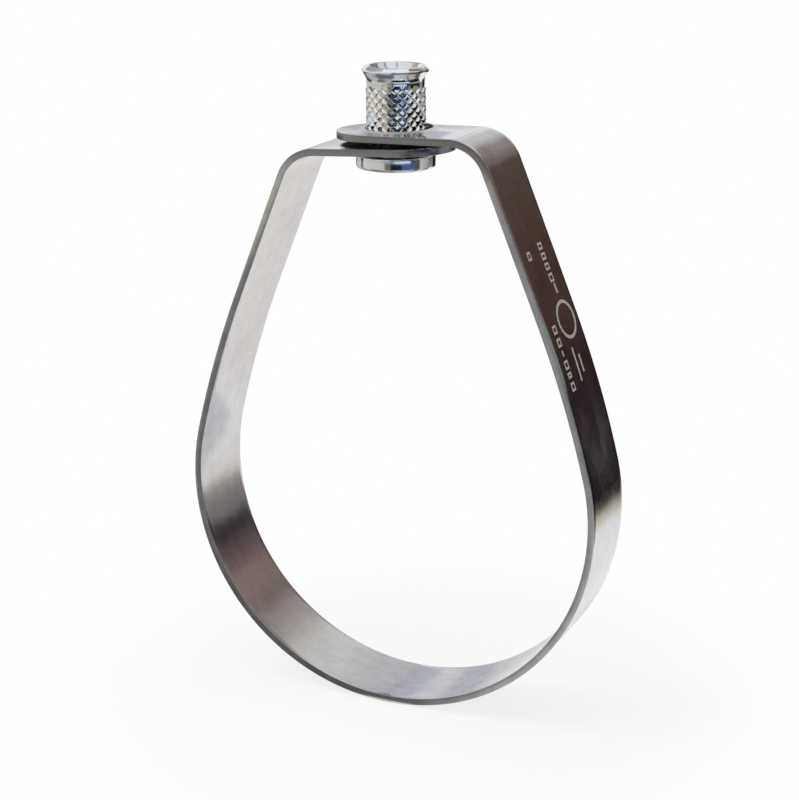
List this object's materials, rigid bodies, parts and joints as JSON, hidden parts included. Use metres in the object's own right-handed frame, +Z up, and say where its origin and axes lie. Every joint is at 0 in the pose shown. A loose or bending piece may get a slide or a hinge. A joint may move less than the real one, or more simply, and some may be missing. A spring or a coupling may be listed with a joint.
{
  "type": "swivel ring hanger",
  "caption": "Band hanger for pipe: a bent strip ring with lapped round ends that turns on a knurled, flanged and flared rod nut.",
  "frame": {"origin": "centre of the pipe that the ring carries, midway across the width of the strip", "axes": "+X across the ring, +Y along the pipe, away from the camera side, +Z up towards the threaded rod"},
  "size_m": [0.119, 0.023, 0.176],
  "materials": {
    "galvanised_strip": "smooth galvanised steel strip, slightly mottled",
    "zinc_plate": "bright zinc plated turned steel"
  },
  "bodies": {
    "nut": {"swivel_nut": "zinc_plate"},
    "ring": {"ring_band": "galvanised_strip"}
  },
  "joints": [
    {"name": "ring_swivel", "type": "hinge", "parent": "nut", "child": "ring", "pos_m": [-0.0016, 0, 0.0936], "axis": [0, 0, 1], "continuous": true}
  ]
}
